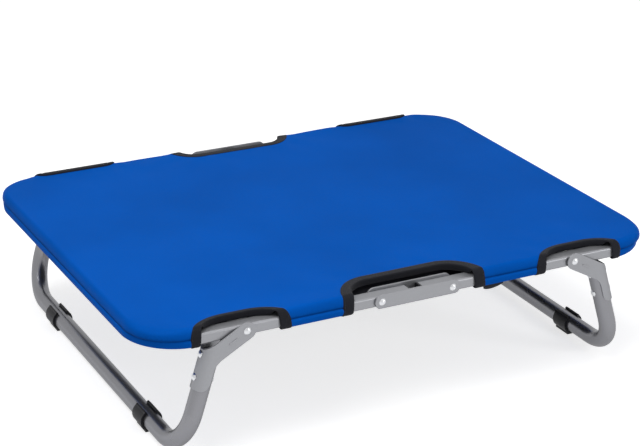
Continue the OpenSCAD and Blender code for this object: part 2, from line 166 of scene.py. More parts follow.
class CotFinishSettings(bpy.types.PropertyGroup):
    """Colours of the cot's finishes"""

    cover: bpy.props.FloatVectorProperty(
        name="Cover", description="Royal blue of the coated polyester",
        default=(0.0005, 0.1, 0.51), **COLOUR)
    lining: bpy.props.FloatVectorProperty(
        name="Lining", description="Grey of the lining under the panel",
        default=(0.1, 0.101, 0.108), **COLOUR)
    tape: bpy.props.FloatVectorProperty(
        name="Tape", description="Black of the woven binding tape",
        default=(0.0065, 0.007, 0.011), **COLOUR)
    paint: bpy.props.FloatVectorProperty(
        name="Paint", description="Silver-grey paint of the steel",
        default=(0.335, 0.34, 0.36), **COLOUR)
    # Darker than the frame's paint, to paint the shade the leg tubes stand in under the bed
    shaded_leg_paint: bpy.props.FloatVectorProperty(
        name="Leg paint", description="Darker silver-grey paint of the leg tubes",
        default=(0.235, 0.236, 0.252), **COLOUR)
    rivet: bpy.props.FloatVectorProperty(
        name="Rivet", description="Bright zinc plate of the rivets",
        default=(0.62, 0.63, 0.65), **COLOUR)
    plastic: bpy.props.FloatVectorProperty(
        name="Plastic", description="Black plastic of the feet and rail plugs",
        default=(0.008, 0.008, 0.011), **COLOUR)
    washer: bpy.props.FloatVectorProperty(
        name="Washer", description="Natural nylon of the pivot washers",
        default=(0.72, 0.71, 0.66), **COLOUR)


class CotStageSettings(bpy.types.PropertyGroup):
    """Floor, light and camera"""

    floor: bpy.props.FloatVectorProperty(
        name="Floor", description="Colour of the plain floor",
        default=(0.8, 0.8, 0.805), **COLOUR)
    key_power: bpy.props.FloatProperty(
        name="Key power", description="Power of the large soft lamp on the left",
        default=13.0, min=0.0, unit="POWER")
    fill_power: bpy.props.FloatProperty(
        name="Fill power", description="Power of the soft lamp on the right",
        default=9.0, min=0.0, unit="POWER")
    glow: bpy.props.FloatProperty(
        name="Floor glow", description="White that runs the seen floor into the backdrop",
        default=0.7, min=0.0, max=1.0)
    sky: bpy.props.FloatProperty(
        name="Sky", description="Strength of the even light from all sides",
        default=0.3, min=0.0, max=1.0)
    camera_place: bpy.props.FloatVectorProperty(
        name="Camera place", description="Where the camera stands",
        default=(-0.8807, -1.7153, 0.9228), unit="LENGTH", subtype="XYZ")
    yaw: bpy.props.FloatProperty(
        name="Yaw", description="Turn of the view from straight back towards the right",
        default=math.radians(27.38), subtype="ANGLE")
    pitch: bpy.props.FloatProperty(
        name="Pitch", description="Tilt of the view below the horizon",
        default=math.radians(22.3), subtype="ANGLE")
    roll: bpy.props.FloatProperty(
        name="Roll", description="Turn of the picture about the view",
        default=math.radians(0.47), subtype="ANGLE")
    lens: bpy.props.FloatProperty(
        name="Lens", description="Focal length in millimetres on a 36 mm wide sensor",
        default=102.88, min=20.0)


# Node materials

# Values of a noise texture lie mostly between these
NOISE_LOW, NOISE_HIGH = 0.3, 0.7
# Sockets of a mix node that mixes two colours
MIX_SHARE, MIX_FIRST, MIX_SECOND, MIXED = 0, 6, 7, 2
# Radians that a wave texture of scale 1 runs through in a metre
WAVE_TURN = 20.0
# Marks on the points of the cover: its inner skin, and how near a point is to the seam, which sets
# the painted shade in the seam's groove and on the shoulder above it
LINING, SEAM_SHADE = "lining", "seam"


class Finish:
    """A node material while it is put together."""

    def __init__(self, name, roughness, metallic=0.0):
        self.material = bpy.data.materials.new(name)
        self.material.use_nodes = True
        self.tree = self.material.node_tree
        self.tree.nodes.clear()
        self.shader = self.add("ShaderNodeBsdfPrincipled")
        self.set(self.shader, Roughness=roughness, Metallic=metallic)
        out = self.add("ShaderNodeOutputMaterial")
        self.tree.links.new(self.shader.outputs[0], out.inputs[0])

    def add(self, kind, **settings):
        node = self.tree.nodes.new(kind)
        for name, value in settings.items():
            setattr(node, name, value)
        return node

    def set(self, node, **values):
        for name, value in values.items():
            node.inputs[name.replace("_", " ")].default_value = value

    def join(self, source, target, name):
        self.tree.links.new(source, target.inputs[name])

    def math(self, operation, a, b):
        node = self.add("ShaderNodeMath", operation=operation)
        for socket, value in zip(node.inputs, (a, b)):
            if isinstance(value, (int, float)):
                socket.default_value = value
            else:
                self.tree.links.new(value, socket)
        return node.outputs[0]

    def summed(self, *parts):
        """Sum of values, each times its share."""
        terms = [self.math("MULTIPLY", value, share) for value, share in parts]
        total = terms[0]
        for term in terms[1:]:
            total = self.math("ADD", total, term)
        return total

    def place(self, output="Object"):
        return self.add("ShaderNodeTexCoord").outputs[output]

    def noise(self, place, scale, detail=2.0, roughness=0.5):
        node = self.add("ShaderNodeTexNoise")
        self.set(node, Scale=scale, Detail=detail, Roughness=roughness)
        self.join(place, node, "Vector")
        return node.outputs[0]

    def wave(self, place, scale, direction):
        node = self.add("ShaderNodeTexWave", bands_direction=direction)
        self.set(node, Scale=scale)
        self.join(place, node, "Vector")
        return node.outputs[1]

    def spread(self, value, low, high):
        """Moves a noise value to the range from low to high."""
        node = self.add("ShaderNodeMapRange")
        self.set(node, From_Min=NOISE_LOW, From_Max=NOISE_HIGH, To_Min=low, To_Max=high)
        self.join(value, node, "Value")
        return node.outputs[0]

    def shades(self, colour, factor, low, high):
        """Colour that runs from low to high times the given one with the factor."""
        ramp = self.add("ShaderNodeValToRGB")
        first, last = ramp.color_ramp.elements
        first.position, last.position = NOISE_LOW, NOISE_HIGH
        first.color = [c * low for c in colour] + [1.0]
        last.color = [min(1.0, c * high) for c in colour] + [1.0]
        self.join(factor, ramp, "Fac")
        return ramp.outputs[0]

    def blended(self, mark, first, second):
        """Colour that runs from the first to the second with a mark on the mesh."""
        mix = self.add("ShaderNodeMix", data_type="RGBA")
        share = self.add("ShaderNodeAttribute", attribute_name=mark).outputs["Fac"]
        for place, source in ((MIX_SHARE, share), (MIX_FIRST, first), (MIX_SECOND, second)):
            self.join(source, mix, place)
        return mix.outputs[MIXED]

    def tint(self, colour, factor, low, high):
        """Gives the shader shades of a colour."""
        self.join(self.shades(colour, factor, low, high), self.shader, "Base Color")

    def bump(self, height, strength, distance, normal=None):
        node = self.add("ShaderNodeBump")
        self.set(node, Strength=strength, Distance=distance)
        self.join(height, node, "Height")
        if normal is not None:
            self.join(normal, node, "Normal")
        self.join(node.outputs[0], self.shader, "Normal")

    def soft_edges(self, radius):
        """Normal that rounds off sharp edges."""
        node = self.add("ShaderNodeBevel", samples=4)
        self.set(node, Radius=radius)
        return node.outputs[0]


def yarn_scale(pitch):
    """Scale of a wave texture whose bands are pitch apart."""
    return 2.0 * math.pi / (WAVE_TURN * pitch)


def cover_cloth(colour, lining):
    """Coated polyester in a close plain weave, with a little sheen, and its plain lining; a painted
    shade darkens it along the seam.
    """
    f = Finish("royal_blue_polyester", 0.6)
    place = f.place()
    broad = f.noise(place, scale=7.0, detail=3.0)
    fine = f.noise(place, scale=420.0)
    yarns = yarn_scale(pitch=0.0011)
    warp, weft = (f.math("SUBTRACT", f.wave(place, yarns, way), 0.5) for way in "XY")
    weave = f.math("MULTIPLY", warp, weft)
    shade = f.summed((broad, 0.75), (fine, 0.25), (weave, 0.5))
    plain = f.shades(colour, shade, low=0.88, high=1.1)
    # Painted shade: the blue at about half its brightness, laid along the seam's groove and the
    # shoulder above it
    seam_shade = f.shades(colour, shade, low=0.46, high=0.58)
    inside = f.shades(lining, shade, low=0.75, high=1.25)
    f.join(f.blended(LINING, f.blended(SEAM_SHADE, plain, seam_shade), inside), f.shader, "Base Color")
    f.join(f.spread(fine, low=0.55, high=0.66), f.shader, "Roughness")
    f.set(f.shader, Sheen_Weight=0.02, Sheen_Roughness=0.45, Sheen_Tint=(0.05, 0.35, 1.0, 1.0),
          Specular_IOR_Level=0.02)
    height = f.math("ADD", weave, f.math("MULTIPLY", fine, 0.3))
    f.bump(height, strength=0.45, distance=0.0003)
    return f.material


def binding_tape(colour):
    """Ribbed woven tape; the ribs lie across its length."""
    f = Finish("black_binding_tape", 0.72)
    place = f.place("UV")
    ribs = f.wave(place, yarn_scale(pitch=0.0013), "X")
    edge = f.wave(place, yarn_scale(pitch=0.0026), "Y")
    fuzz = f.noise(f.place(), scale=900.0)
    f.tint(colour, f.summed((ribs, 0.4), (fuzz, 0.6)), low=0.7, high=1.35)
    f.join(f.spread(fuzz, low=0.62, high=0.82), f.shader, "Roughness")
    f.set(f.shader, Sheen_Weight=0.05, Sheen_Roughness=0.4, Specular_IOR_Level=0.2)
    height = f.math("ADD", ribs, f.math("MULTIPLY", edge, 0.3))
    f.bump(height, strength=0.5, distance=0.0003)
    return f.material


def sewing_thread(name, colour):
    """Twisted polyester thread."""
    f = Finish(name, 0.5)
    ply = f.noise(f.place(), scale=1500.0, detail=1.0)
    f.tint(colour, ply, low=0.8, high=1.3)
    f.set(f.shader, Sheen_Weight=0.3)
    f.bump(ply, strength=0.3, distance=0.0001)
    return f.material


def silver_paint(name, colour, roughness, metallic, edge):
    """Satin metallic paint: fine flake, faint orange peel; edge is its shine at a flat angle."""
    f = Finish(name, roughness, metallic)
    place = f.place()
    flake = f.noise(place, scale=2600.0, detail=1.0)
    cloud = f.noise(place, scale=14.0, detail=3.0)
    peel = f.noise(place, scale=260.0)
    f.tint(colour, f.summed((flake, 0.6), (cloud, 0.4)), low=0.9, high=1.1)
    f.join(f.spread(cloud, roughness - 0.04, roughness + 0.04), f.shader, "Roughness")
    f.set(f.shader, Specular_Tint=(edge, edge, edge, 1.0))
    f.bump(peel, strength=0.12, distance=0.0002, normal=f.soft_edges(radius=0.0005))
    return f.material


def zinc_plate(colour):
    """Bright plated rivet with faint turning marks from its setting tool."""
    f = Finish("bright_zinc", 0.28, metallic=1.0)
    marks = f.noise(f.place(), scale=800.0, detail=3.0)
    f.tint(colour, marks, low=0.88, high=1.06)
    f.join(f.spread(marks, low=0.22, high=0.36), f.shader, "Roughness")
    f.bump(marks, strength=0.15, distance=0.0001)
    return f.material


def moulded_plastic(name, colour, roughness):
    """Moulded plastic with a fine spark-eroded grain."""
    f = Finish(name, roughness)
    place = f.place()
    grain = f.noise(place, scale=1300.0)
    scuff = f.noise(place, scale=60.0, detail=4.0, roughness=0.65)
    f.tint(colour, f.summed((grain, 0.5), (scuff, 0.5)), low=0.8, high=1.3)
    f.join(f.spread(scuff, roughness - 0.06, roughness + 0.08), f.shader, "Roughness")
    f.set(f.shader, Specular_IOR_Level=0.25)
    f.bump(grain, strength=0.2, distance=0.00015, normal=f.soft_edges(radius=0.0005))
    return f.material


def paint_nodes(material, *kinds):
    """Puts a finish on the nodes of the frame whose names start with a kind."""
    for node in (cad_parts[name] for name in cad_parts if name.startswith(kinds)):
        if not node.material_slots:
            node.data.materials.append(material)
        for slot in node.material_slots:
            slot.material = material


# The cover's surface, unrolled. A point in plan that lies past the flat top goes on round the
# shoulder, down the rolled edge, in under the rail and up to the panel again, as the sleeve does.

# Sleeve under the rail and up to the panel: inset from the edge and height over the underside, mm
SLEEVE = ((6, 0), (12, 0.1), (17, 0.2), (24, 3.3), (32, 7.0), (40, 10.8), (46, 13.6))
# How far from an opening the wrinkles start, and how far those of leg and centre openings reach
WRINKLE_START = 0.012
WRINKLE_REACH = (0.034, 0.045)


def ease(x):
    """Soft step from 0 to 1."""
    x = np.clip(x, 0.0, 1.0)
    return x * x * (3 - 2 * x)


def run_along(line):
    """Distance of each point of a line from its start."""
    return np.concatenate([[0.0], np.cumsum(np.linalg.norm(np.diff(line, axis=0), axis=1))])


class Rim:
    """Section of the cover's edge, from the flat top outward; distances follow the cloth."""

    def __init__(self, s, seamed):
        top, low = COVER_HIGH.z + s.crown, COVER_LOW.z
        seam, roll = (s.seam_depth, s.roll) if seamed else (0.0, 0.6 * s.roll)
        seam_z = low + s.seam_height
        foot_z = seam_z + 1.0 * MM
        # Inset from the edge and height: the shoulder, the seam and roll, the sleeve
        over = [
            (s.shoulder * (1 - math.cos(a)) - s.overhang, foot_z + (top - foot_z) * math.sin(a))
            for a in np.radians(np.linspace(90.0, 14.0, 14))
        ]
        side = [
            (0.4 * seam - 0.1 * MM, seam_z + 1.1 * MM),
            (seam, seam_z),
            (0.4 * seam, seam_z - 0.7 * MM),
            (-0.5 * roll, seam_z - 1.7 * MM),
            (-roll, seam_z - 3.2 * MM),
            (-roll, seam_z - 5.2 * MM),
            (-0.6 * roll, low + 2.2 * MM),
            (0.8 * MM, low + 0.7 * MM),
            (2.6 * MM, low - 0.1 * MM),
        ]
        under = [(inset * MM, low + rise * MM) for inset, rise in SLEEVE]
        steps = 16
        fine = spline(np.array(over + side + under), steps)
        self.t = run_along(fine)
        self.flat_inset = s.shoulder - s.overhang
        self.out = self.flat_inset - fine[:, 0]
        self.z = fine[:, 1]
        along_out, along_z = np.gradient(self.out, self.t), np.gradient(self.z, self.t)
        size = np.hypot(along_out, along_z)
        self.face_out, self.face_z = -along_z / size, along_out / size
        self.length = float(self.t[-1])
        self.seam = float(self.t[(len(over) + 1) * steps])
        self.below = (len(over) + len(side)) * steps

    def at(self, t):
        """Way outward and height at distances along the cloth, and the way that it faces."""
        return [np.interp(t, self.t, row) for row in (self.out, self.z, self.face_out, self.face_z)]

    def reach(self, inset):
        """Distance along the cloth to a point of the underside."""
        return float(np.interp(inset, self.flat_inset - self.out[self.below:], self.t[self.below:]))


def spline(knots, steps):
    """Smooth curve through the knots, as a list of points."""
    ends = np.vstack([2 * knots[0] - knots[1], knots, 2 * knots[-1] - knots[-2]])
    made = []
    for a, b, c, d in zip(ends, ends[1:], ends[2:], ends[3:]):
        for u in np.arange(steps) / steps:
            made.append(0.5 * (2 * b + (c - a) * u + (2 * a - 5 * b + 4 * c - d) * u * u
                               + (3 * b - a - 3 * c + d) * u ** 3))
    return np.array(made + [knots[-1]])


def from_block(plan, half, radius):
    """Distance outward from a rounded rectangle about the middle, and the direction outward."""
    past = np.abs(plan) - (half - radius)
    out = np.maximum(past, 0.0)
    reach = np.linalg.norm(out, axis=1)
    distance = reach + np.minimum(past.max(axis=1), 0.0) - radius
    way = out / np.maximum(reach, 1e-9)[:, None] * np.sign(plan)
    return distance, way


@dataclass
class Opening:
    """Rounded hole in a sleeve, in the unrolled plan: from the top round to the underside."""

    x: float           # middle, from the middle of the bed
    half: float        # half its length
    inner: float       # inner edge, on the top
    end: float         # outer edge, on the underside
    radius: float      # of the corners on the top
    end_radius: float  # of the corners on the underside
    flare: float       # how much longer it gets towards the underside
    sweep: float = 0   # how much longer than deep the corners on the top are
    shift: float = 0   # how far it lies off its middle

    def on(self, side):
        """The opening on one half of the bed: a shifted one is longer on one of them."""
        return replace(self, half=self.half + side * self.shift, shift=0)

    def narrowed(self, side, top, end):
        """The opening with its sides and its two edges moved in."""
        return replace(self, half=self.half - side, inner=self.inner + top, end=self.end - end,
                       radius=max(self.radius - side, 4 * MM),
                       end_radius=max(self.end_radius - side, 3 * MM))

    def half_path(self):
        """Points round its right half, from the underside to the top, x from its middle."""
        h, r, q, low, high = self.half, self.radius, self.end_radius, self.end, self.inner
        long = r + self.sweep
        edge_steps, side_steps = 24, 26
        down = np.radians(np.linspace(90.0, 0.0, 10, endpoint=False))
        up = np.radians(np.linspace(0.0, -90.0, 20, endpoint=False))
        runs = (
            (np.linspace(0.0, h - q, edge_steps, endpoint=False), np.full(edge_steps, low)),
            (h - q + q * np.cos(down), low - q + q * np.sin(down)),
            (np.full(side_steps, h), np.linspace(low - q, high + r, side_steps, endpoint=False)),
            (h - long + long * np.cos(up), high + r + r * np.sin(up)),
            (np.linspace(h - long, 0.0, edge_steps), np.full(edge_steps, high)),
        )
        path = np.vstack([np.column_stack(run) for run in runs])
        path[:, 0] *= 1 + self.flare / h * (path[:, 1] - high - r) / (low - high)
        return path

    def ring(self):
        """Points all round the opening, x from the middle of the bed."""
        right = self.half_path()
        left = right[-2:0:-1] * np.array([-1.0, 1.0])
        return np.vstack([right, left]) + np.array([self.x, 0.0])

    def wrinkles(self, plan, half, way, end, reach):
        """Wrinkles that fan out from one end of the opening, on one half of the bed."""
        span = self.half - self.radius
        from_middle = half * plan[:, 0] - self.x
        dx, dy = from_middle - end * span, way * plan[:, 1] - self.inner - self.radius
        past_end = np.maximum(np.abs(from_middle) - span, 0.0)
        clear = np.hypot(past_end, np.minimum(dy, 0.0)) - self.radius
        away = np.hypot(dx, dy) - self.radius
        turn = np.arctan2(dy, dx) + 0.35 * half + 0.2 * way
        fade = ease(clear / WRINKLE_START) * np.exp(-np.clip(away, 0, None) / reach)
        folds = np.sin(9.0 * turn + 40.0 * away + 1.7 * half)
        return (1.25 + 0.25 * way) * fade * folds * (away > 0)


def openings(rim):
    """Leg and centre opening of the front edge, -1, and of the back edge, 1."""
    def opening(depth, under, **sizes):
        return Opening(inner=COVER_HALF[1] - depth * MM,
                       end=COVER_HALF[1] - rim.flat_inset + rim.reach(under * MM),
                       **{name: size * MM for name, size in sizes.items()})

    # In mm; depth and under are how far in it reaches from the bed's edge, above and below
    leg = partial(opening, x=201, under=38.5, end_radius=12, flare=7)
    centre = partial(opening, x=0, under=40.5, end_radius=20, flare=8)
    return {
        -1: (leg(half=55, depth=20.8, radius=29, sweep=13),
             centre(half=83.5, depth=41, radius=40, shift=-3)),
        1: (leg(half=54, depth=11, radius=18), centre(half=80, depth=30, radius=32)),
    }


class CoverSurface:
    """Outer face of the fitted cover, reached from the unrolled plan."""

    def __init__(self, settings, seamed=True):
        self.settings = settings
        self.rim = Rim(settings, seamed)
        self.flat_half = COVER_HALF - self.rim.flat_inset
        self.flat_radius = settings.corner_radius - self.rim.flat_inset
        self.openings = openings(self.rim)

    def past_flat(self, plan):
        """Distance outward from the flat top, and the direction outward."""
        return from_block(plan, self.flat_half, self.flat_radius)

    def relief(self, plan):
        """Dip of the stretched panel and the wrinkles drawn out from the openings' corners."""
        s = self.settings
        x, y = plan[:, 0], plan[:, 1]
        in_x, in_y = (np.clip(1 - np.abs(plan[:, k]) / COVER_HALF[k], 0, 1) for k in (0, 1))
        middle = in_x * in_y
        dip = -s.sag * ease(middle * 2.2)
        drawn = np.zeros(len(plan))
        for way, pair in self.openings.items():
            for opening, reach in zip(pair, WRINKLE_REACH):
                for half in (1, -1) if opening.x > 0 else (1,):
                    for end in (1, -1):
                        drawn += opening.wrinkles(plan, half, way, end, reach)
        wave_x = np.sin(x * 31.0 + 1.3 * np.sin(y * 17.0))
        wave_y = np.sin(y * 23.0 + 0.8 * np.sin(x * 19.0))
        return dip + s.wrinkle * (drawn + 0.5 * (0.6 * wave_x * wave_y) * ease(middle * 3))

    def slack(self, base, t):
        """Waves of the sleeve, which hangs loose between the rail and the panel."""
        x, y = base[:, 0], base[:, 1]
        start, soft = self.rim.reach(14 * MM), 0.012
        loose = ease((t - start) / soft) * ease((self.rim.length - t) / soft)
        return 0.45 * MM * loose * np.sin(85.0 * (x - y) + 1.5 * np.sin(31.0 * x))

    def gathers(self, base, t):
        """Small gathers along the seam."""
        turn = np.arctan2(base[:, 1], base[:, 0])
        folds = np.sin(150.0 * turn + 2.0 * np.sin(23.0 * turn)) * (0.7 + 0.3 * np.sin(41.0 * turn))
        return self.settings.pucker * folds * np.exp(-((t - self.rim.seam) / 0.0055) ** 2)

    def fullness(self, way, t):
        """Share of the corner push: full on the shoulder where the edge turns a corner."""
        diagonal = (2 * np.abs(way[:, 0] * way[:, 1])) ** 1.5
        return diagonal * ease(t / 0.006) * ease((self.rim.seam + 0.006 - t) / 0.01)

    def lay(self, plan, lift=0.0):
        """Points on the cover for points of the unrolled plan, raised by lift."""
        past, way = self.past_flat(plan)
        t = np.clip(past, 0.0, self.rim.length)
        out, z, face_out, face_z = self.rim.at(t)
        base = plan - way * np.maximum(past, 0.0)[:, None]
        lift = lift + self.slack(base, t)
        lift = lift + self.gathers(base, t) * (past > 0)
        push = self.settings.corner_push * self.fullness(way, t)
        reach = np.where(past > 0, out + lift * face_out + push, 0.0)
        height = z + lift * face_z + self.relief(base) * ease(1 - t / 0.01)
        return np.column_stack([base + way * reach[:, None], height])


# Spacing of the cover's points: along its outline, along its edge, and on the flat top
OUTLINE_SPACING, EDGE_SPACING, TOP_SPACING = 0.004, 0.005, 0.0075
# Distance of the brackets' inner cheeks from the line along the middle of the bed
BRACKET_CHEEK = 0.216


def mesh_piece(name, points, faces, material):
    """New smooth object from points and faces, in the collection of the scene."""
    mesh = bpy.data.meshes.new(name)
    mesh.from_pydata([tuple(p) for p in points], [], faces)
    mesh.polygons.foreach_set("use_smooth", [True] * len(mesh.polygons))
    mesh.materials.append(material)
    mesh.update()
    piece = bpy.data.objects.new(name, mesh)
    bpy.context.scene.collection.objects.link(piece)
    return piece


def outer_columns(surface, spacing):
    """Points and ways outward round the right half of the flat top, from the front to the back."""
    half, r = surface.flat_half, surface.flat_radius
    run_x, run_y = half[0] - r, half[1] - r
    front = np.arange(0.0, run_x, spacing)
    bend = np.radians(np.linspace(-90.0, 0.0, 30, endpoint=False))
    end = np.linspace(-run_y, run_y, int(2 * run_y / spacing))
    foot = [(x, -half[1], 0.0, -1.0) for x in front]
    foot += [(run_x + r * nx, -run_y + r * ny, nx, ny)
             for nx, ny in ((math.cos(a), math.sin(a)) for a in bend)]
    foot += [(half[0], y, 1.0, 0.0) for y in end]
    foot += [(x, -y, nx, -ny) for x, y, nx, ny in reversed(foot[: len(front) + len(bend)])]
    return np.array(foot)


def middle_line(start, end):
    """Points between two places on the line across the middle of the bed."""
    y = np.linspace(start, end, max(3, int(abs(end - start) / OUTLINE_SPACING)))[1:-1]
    return np.column_stack([np.zeros(len(y)), y])


def cover_loops(surface, cuts):
    """Outline of the right half of the unrolled cover, and the outlines of its leg openings."""
    foot = surface.flat_half[1] + surface.rim.length
    columns = outer_columns(surface, OUTLINE_SPACING)
    (front_leg, front), (back_leg, back) = cuts[-1], cuts[1]
    outline = np.vstack([
        front.half_path()[::-1] * np.array([1.0, -1.0]), middle_line(-front.end, -foot),
        columns[:, :2] + columns[:, 2:] * surface.rim.length,
        middle_line(foot, back.end), back.half_path(), middle_line(back.inner, -front.inner),
    ])
    return outline, [front_leg.ring() * np.array([1.0, -1.0]), back_leg.ring()]


def inside(loop, points):
    """Which points lie inside a closed loop."""
    a, b = loop, np.roll(loop, -1, axis=0)
    x, y = points[:, 0:1], points[:, 1:2]
    crossed = (a[:, 1] > y) != (b[:, 1] > y)
    rise = np.where(a[:, 1] == b[:, 1], 1.0, b[:, 1] - a[:, 1])
    at = a[:, 0] + (y - a[:, 1]) * (b[:, 0] - a[:, 0]) / rise
    return (crossed & (x < at)).sum(axis=1) % 2 == 1


def distance_to(line, points):
    """Distance of each point from the nearest point of a line."""
    tree = KDTree(len(line))
    for i, (x, y) in enumerate(line):
        tree.insert((x, y, 0.0), i)
    tree.balance()
    return np.array([tree.find((x, y, 0.0))[2] for x, y in points])


def cover_points(surface, outline, holes):
    """Points between the outlines: rows round the edge, close at the seam, and a grid on top."""
    rim, flat = surface.rim, surface.flat_half
    near, under = rim.seam - 2.2 * MM, rim.seam + 2.2 * MM
    turned = under + 0.012
    rows = np.unique(np.concatenate([
        np.linspace(0.0, near, 10), np.linspace(near, under, 9),
        np.linspace(under, turned, 10), np.linspace(turned, rim.length, 10)[:-1],
    ]))
    columns = outer_columns(surface, EDGE_SPACING)
    band = np.vstack([columns[:, :2] + columns[:, 2:] * t for t in rows])
    first, clear, edge_clear = 0.004, 0.002, 0.0012
    grid = np.stack(np.meshgrid(np.arange(first, flat[0], TOP_SPACING),
                                np.arange(-flat[1] + first, flat[1], TOP_SPACING)), -1)
    grid = grid.reshape(-1, 2)
    plan = np.vstack([band, grid[surface.past_flat(grid)[0] < -clear]])
    edge = np.vstack([outline] + holes)
    keep = (plan[:, 0] > clear) & in_cloth(outline, holes, plan)
    return plan[keep & (distance_to(edge, plan) > edge_clear)]


def in_cloth(outline, holes, points):
    """Which points lie inside the outline and in none of the holes."""
    good = inside(outline, points)
    for hole in holes:
        good &= ~inside(hole, points)
    return good


def cover_net(surface, cuts):
    """Points and triangles of the right half of the unrolled cover, and its area."""
    outline, holes = cover_loops(surface, cuts)
    plan = np.vstack([outline] + holes + [cover_points(surface, outline, holes)])
    edges, start = [], 0
    for loop in [outline] + holes:
        edges += [(start + i, start + (i + 1) % len(loop)) for i in range(len(loop))]
        start += len(loop)
    points, _, faces, _, _, _ = delaunay_2d_cdt([Vector(p) for p in plan], edges, [], 0, 1e-7)
    points = np.array([(p.x, p.y) for p in points])
    faces = np.array(faces)
    a, b, c = (points[faces[:, i]] for i in range(3))
    area = 0.5 * ((b - a)[:, 0] * (c - a)[:, 1] - (b - a)[:, 1] * (c - a)[:, 0])
    good = in_cloth(outline, holes, points[faces].mean(axis=1)) & (np.abs(area) > 1e-12)
    faces[area < 0] = faces[area < 0][:, ::-1]
    return points, faces[good], float(np.abs(area[good]).sum())


def open_edges(faces):
    """Edges that only one face uses, in that face's own direction."""
    edges = np.vstack([faces[:, [0, 1]], faces[:, [1, 2]], faces[:, [2, 0]]])
    _, first, uses = np.unique(np.sort(edges, axis=1), axis=0,
                               return_index=True, return_counts=True)
    return edges[first[uses == 1]]


def cover_thickness(plan, surface, cuts):
    """Padding on the top, thinned at the edge, beside the openings and over the brackets' ends."""
    s, rim = surface.settings, surface.rim
    past = surface.past_flat(plan)[0]
    low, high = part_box("pivot_rivets_right")
    bracket = np.hypot(np.abs(plan[:, 0]) - 0.5 * (low.x + high.x),
                       np.abs(plan[:, 1]) - BRACKET_CHEEK)
    cut = np.vstack([opening.ring() * np.array([1.0, way])
                     for way in SIDES for opening in cuts[way]])
    share = np.minimum.reduce([
        ease(1 - past / (rim.seam - 2.0 * MM)),
        ease(distance_to(cut, plan) / 0.011),
        ease((bracket - 0.013) / 0.010),
    ])
    thick = s.cloth + (s.padding - s.cloth) * share
    seam_half, seam_cloth = 2.6 * MM, 0.45 * MM
    return np.where(np.abs(past - rim.seam) < seam_half, seam_cloth, thick)


def build_cover_half(name, side, surface, net, cuts, material):
    """One half of the cover as a closed sheet: outer face, lining and the edges between them."""
    plan, faces, _ = net
    thick = cover_thickness(plan, surface, cuts)
    plan = plan * np.array([side, 1.0])
    past = surface.past_flat(plan)[0]
    outer = surface.lay(plan)
    inner = surface.lay(plan, -thick)
    inner[:, 2] = np.where(past <= 0, outer[:, 2] - thick, inner[:, 2])
    count = len(plan)
    order = faces if side > 0 else faces[:, ::-1]
    border = open_edges(order)
    walls = [(b, a, a + count, b + count) for a, b in border]
    skins = [tuple(f) for f in order] + [tuple(f[::-1] + count) for f in order]
    piece = mesh_piece(name, np.vstack([outer, inner]), skins + walls, material)
    # Share of the painted shade round the seam: it fades over about 2.2 mm up the shoulder and 0.7
    # mm down the roll
    from_seam = past - surface.rim.seam
    above, below = 2.2 * MM, 0.7 * MM
    sewn = np.exp(-(from_seam / np.where(from_seam < 0, above, below)) ** 2)
    for mark, values in ((LINING, np.repeat([0.0, 1.0], count)), (SEAM_SHADE, np.tile(sewn, 2))):
        points = piece.data.attributes.new(mark, "FLOAT", "POINT").data
        points.foreach_set("value", values.astype(np.float32))
    sharp = {tuple(sorted(e)) for e in np.vstack([border, border + count]).tolist()}
    for edge in piece.data.edges:
        edge.use_edge_sharp = tuple(sorted(edge.vertices)) in sharp
    return piece


# Section of the folded tape: share of the way across it towards the opening, and level, which is
# 1 on its face and -1 underneath
TAPE_SECTION = (
    (0.0, 0.05), (0.005, 0.5), (0.04, 0.8), (0.12, 0.95), (0.3, 1.0), (0.6, 1.0), (0.82, 0.95),
    (0.93, 0.72), (0.985, 0.3), (1.0, -0.2), (1.0, -0.55), (0.985, -0.82), (0.94, -0.97),
    (0.88, -1.0), (0.8, -1.0), (0.72, -1.0), (0.64, -1.0), (0.45, -1.0), (0.2, -1.0), (0.02, -1.0),
    (0.0, -0.6),
)
# Row of the section that lies on the face, along which the tape's length is taken
FACE_ROW = 4
# Rise and width of a stitch from end to end, in threads
STITCH = ((-0.5, 0.35), (0.25, 0.9), (0.42, 1.0), (0.25, 0.9), (-0.5, 0.35))


def tube_faces(stations, ring, start=0, closed=False):
    """Faces between rings of points; the ends are capped, or joined where the tube is closed."""
    faces = []
    for i in range(stations if closed else stations - 1):
        here, there = start + i * ring, start + (i + 1) % stations * ring
        for j in range(ring):
            k = (j + 1) % ring
            faces.append((here + j, here + k, there + k, there + j))
    if not closed:
        last = start + (stations - 1) * ring
        faces.append(tuple(range(start, start + ring))[::-1])
        faces.append(tuple(range(last, last + ring)))
    return faces


